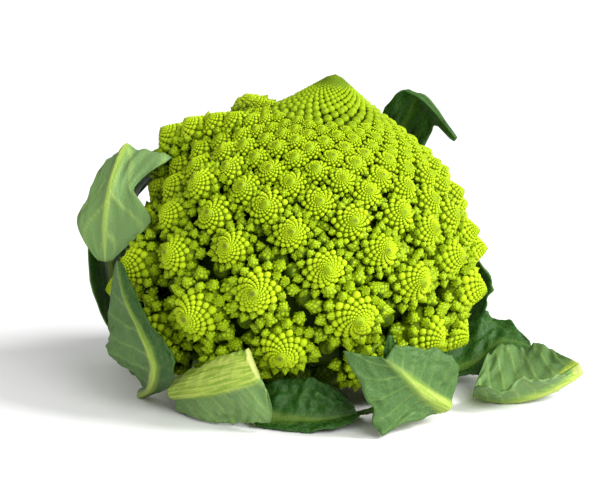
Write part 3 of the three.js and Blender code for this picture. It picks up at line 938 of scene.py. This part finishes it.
def leaf_sheet(name, curves, stem, round_end):
    """A function for the place at u along a blade and v across it, -1 at its left margin, 1 at its right."""
    left_curve, spine_curve, right_curve = (SmoothCurve(points) for points in curves)

    def sheet_point(u, v):
        margin, tearing = (left_curve, 3.1) if v < 0 else (right_curve, 7.7)
        ragged = 1 - TORN * abs(noise.noise((u * 8, tearing, len(name)))) * v * v
        rounded = 1.0
        if round_end and not (stem and v > 0):
            into_end = max(0.0, min(u, 1.0) - ROUND_FROM) / (1 - ROUND_FROM)
            rounded = math.sqrt(1 - ROUND_LOSS * into_end ** 2)
        return spine_curve.at(u).lerp(margin.at(u), abs(v) * ragged * rounded)

    return sheet_point


def leaf_grid(settings):
    """Two sheets joined at their rims, with v as X, u as Y and the upper side at Z = 1."""
    form = bmesh.new()
    layers = [form.verts.layers.float.new(layer) for layer in LEAF_LAYERS]
    bmesh.ops.create_grid(form, x_segments=settings.columns, y_segments=settings.rows, size=0.5)
    bmesh.ops.scale(form, vec=(2, 1, 1), verts=form.verts[:])
    bmesh.ops.translate(form, vec=(0, 0.5, 0), verts=form.verts[:])
    raised = bmesh.ops.extrude_face_region(form, geom=form.faces[:], use_keep_orig=True)["geom"]
    bmesh.ops.translate(
        form, vec=(0, 0, 1), verts=[item for item in raised if isinstance(item, bmesh.types.BMVert)])
    return form, layers


def side_vein_at(u, v, half_width):
    """How far a place stands on one of the veins that leave the midrib, from 0 beside them to 1."""
    veins = 7
    half_vein = 0.10
    narrow = 0.012
    sweep = 1.1 * abs(v) ** 1.2
    stagger = 0.25 * (v > 0)
    beside = abs((u * veins - sweep + stagger) % 1 - 0.5)
    return max(0.0, 1 - min(1.0, beside / half_vein)) * (1 - 0.6 * abs(v)) * min(1, half_width / narrow)


def midrib_at(u, v, half_width, rib, stem):
    """Height of the midrib in metres, and how far its colour shows, from 0 to 1."""
    height = rib * MM
    if stem:
        middle = 0.4
        half_breadth = 0.62
        band = max(0.0, 1 - ((v - middle) / half_breadth) ** 2)
        return height * math.sqrt(band), min(1.0, band * 6)
    rib_width = 0.0035 * (1.1 - 0.6 * u)
    ridge = height * (1 - 0.85 * u) * math.exp(-(v * half_width / rib_width) ** 2)
    return ridge, clamp(ridge / height * 2.4 - 0.3)


def leaf_mesh(name, settings, left, spine, right, base=None, rib=4, wave=0, waves=3, slot="leaf", dark=0.0,
              dark_left=None, stem=False, round_end=True, upper_tone=1.0):
    """A closed blade between its left margin, its midrib and its right margin."""
    curves = [left, spine, right]
    if base is not None:
        curves = [[start, *points] for start, points in zip(base_at_stalk(base), curves)]
    sheet_point = leaf_sheet(name, curves, stem, round_end)
    form, layers = leaf_grid(settings)
    is_dark = slot == "leaf_dark"
    crinkle_height = 0.0032 if is_dark else 0.0014
    frill_height = 0.0016
    side_vein_height = 0.0005
    step = 0.02
    for vert in form.verts:
        v, u, side = vert.co
        along = sheet_point(u + step, v) - sheet_point(u - step, v)
        across = sheet_point(u, min(1, v + 0.2)) - sheet_point(u, max(-1, v - 0.2))
        normal = across.cross(along).normalized()
        half_width = (sheet_point(u, 1 if v > 0 else -1) - sheet_point(u, 0)).length

        fade = math.sin(math.pi * clamp(u))
        ripple = wave * MM * v * v * math.sin(math.tau * waves * u + 2 * v) * fade
        grain = Vector((u * 9, v * 5, len(name) * 3.7))
        crinkle = crinkle_height * noise.noise(grain * 1.3) * min(1, abs(v) * 3) * min(1, half_width / 0.02)
        frill = frill_height * noise.noise(grain * 2.6) * abs(v) ** 3 * fade
        middle = sheet_point(u, v) + normal * (ripple + crinkle + frill)

        side_vein = side_vein_at(u, v, half_width)
        ridge, rib_colour = midrib_at(u, v, half_width, rib, stem)
        # A leaf painted in shade shows little of its pale midrib
        if not stem:
            rib_colour *= 0.15 if is_dark else 1 - 0.3 * dark
        if side:
            vert.co = middle + normal * settings.thickness / 2
        else:
            vert.co = middle - normal * (settings.thickness / 2 + ridge + side_vein_height * side_vein)

        darkness = dark if v > 0 or dark_left is None else dark_left
        at_cut = (u > 0.999 and v > -0.25) if stem else u < 0.001
        is_cut = at_cut and base is None
        values = (u, v, side * upper_tone, side_vein, rib_colour, darkness, float(is_cut))
        for layer, value in zip(layers, values):
            vert[layer] = value
    return finished_mesh(form, name)


class ROMANESCO_OT_leaves(bpy.types.Operator):
    """The leaves round the head, each a closed blade with its midrib and veins on the underside"""

    bl_idname = "romanesco.leaves"
    bl_label = "Leaves"

    def execute(self, context):
        settings = context.scene.romanesco_leaf
        material = leaf_finish(settings)
        for name, shape in LEAVES.items():
            mesh = leaf_mesh(name, settings, **shape)
            add_piece(mesh, name + "_blade", material, name)
        return {"FINISHED"}


class ROMANESCO_OT_stalk(bpy.types.Operator):
    """The thick pale stalk under the curd, cut off level"""

    bl_idname = "romanesco.stalk"
    bl_label = "Stalk"

    def execute(self, context):
        settings = context.scene.romanesco_leaf
        finish = Finish("stalk skin", Specular_IOR_Level=0.3)
        streak = finish.noise(0.006, 3.0)
        pores = finish.cells(0.0016)
        finish.set(
            Base_Color=finish.mix(streak.between(0.3, 0.7), settings.stalk_green, settings.stalk_pale),
            Roughness=0.5 + 0.2 * streak,
            Normal=finish.bump(pores, 0.0003, 0.5))
        for slot in bpy.data.objects["stalk"].material_slots:
            slot.material = finish.material
        return {"FINISHED"}


class ROMANESCO_OT_stage(bpy.types.Operator):
    """A pale floor, soft studio lights and the camera"""

    bl_idname = "romanesco.stage"
    bl_label = "Stage"

    def execute(self, context):
        settings = context.scene.romanesco_stage
        self.add_camera(context.scene, settings)
        self.add_floor(context.scene, settings)
        self.add_lights(context.scene, settings)
        return {"FINISHED"}

    def add_camera(self, scene, settings):
        target = Vector((0.0036, 0, 0.0665))
        elevation = settings.camera_height
        back = Vector((0, -math.cos(elevation), math.sin(elevation)))
        camera = bpy.data.objects.new("camera", bpy.data.cameras.new("camera"))
        camera.location = target + back * settings.camera_distance
        camera.rotation_euler = (math.pi / 2 - elevation, 0, 0)
        camera.data.lens = settings.lens
        camera.data.sensor_width = 36
        scene.collection.objects.link(camera)
        scene.camera = camera

    def add_floor(self, scene, settings):
        form = bmesh.new()
        bmesh.ops.create_grid(form, x_segments=1, y_segments=1, size=settings.floor_size)
        mesh = bpy.data.meshes.new("floor")
        form.to_mesh(mesh)
        form.free()
        floor = bpy.data.objects.new("floor", mesh)
        scene.collection.objects.link(floor)
        paint = Finish("floor", Roughness=0.55, Specular_IOR_Level=0.2, Base_Color=(*settings.floor, 1.0))
        mesh.materials.append(paint.material)

    def add_lights(self, scene, settings):
        world = bpy.data.worlds.new("studio")
        world.use_nodes = True
        background = world.node_tree.nodes["Background"]
        background.inputs["Color"].default_value = (1, 1, 1, 1)
        background.inputs["Strength"].default_value = settings.room_light
        scene.world = world
        scene.view_settings.view_transform = "Standard"

        key = self.add_light(scene, "key", "SUN", settings.key_light, direction=Vector((-0.90, 0.22, -0.66)))
        key.data.angle = settings.key_angle

        place = Vector((0.6, -1.15, 0.75))
        middle_of_head = Vector((0, 0, 0.06))
        fill = self.add_light(scene, "fill", "AREA", settings.fill_light, direction=middle_of_head - place)
        fill.data.size = settings.fill_size
        fill.location = place

    def add_light(self, scene, name, kind, energy, direction):
        data = bpy.data.lights.new(name, kind)
        data.energy = energy
        light = bpy.data.objects.new(name, data)
        light.rotation_euler = direction.to_track_quat("-Z", "Y").to_euler()
        scene.collection.objects.link(light)
        return light


class ROMANESCO_PT_panel(bpy.types.Panel):
    """Lists the pieces"""

    bl_label = "Romanesco"
    bl_idname = "ROMANESCO_PT_panel"
    bl_space_type = "VIEW_3D"
    bl_region_type = "UI"
    bl_category = "Romanesco"

    def draw(self, context):
        for operator in OPERATORS:
            self.layout.operator(operator.bl_idname)


SETTINGS = {
    "romanesco_head": HeadSettings,
    "romanesco_curd": CurdColours,
    "romanesco_leaf": LeafSettings,
    "romanesco_stage": StageSettings,
}
OPERATORS = (ROMANESCO_OT_stage, ROMANESCO_OT_curd, ROMANESCO_OT_stalk, ROMANESCO_OT_leaves)


def register():
    for name, group in SETTINGS.items():
        bpy.utils.register_class(group)
        setattr(bpy.types.Scene, name, bpy.props.PointerProperty(type=group))
    for operator in OPERATORS:
        bpy.utils.register_class(operator)
    bpy.utils.register_class(ROMANESCO_PT_panel)


def unregister():
    bpy.utils.unregister_class(ROMANESCO_PT_panel)
    for operator in reversed(OPERATORS):
        bpy.utils.unregister_class(operator)
    for name, group in SETTINGS.items():
        delattr(bpy.types.Scene, name)
        bpy.utils.unregister_class(group)


def main():
    register()
    bpy.ops.romanesco.stage()
    bpy.ops.romanesco.curd()
    bpy.ops.romanesco.stalk()
    bpy.ops.romanesco.leaves()


if __name__ == "__main__":
    main()
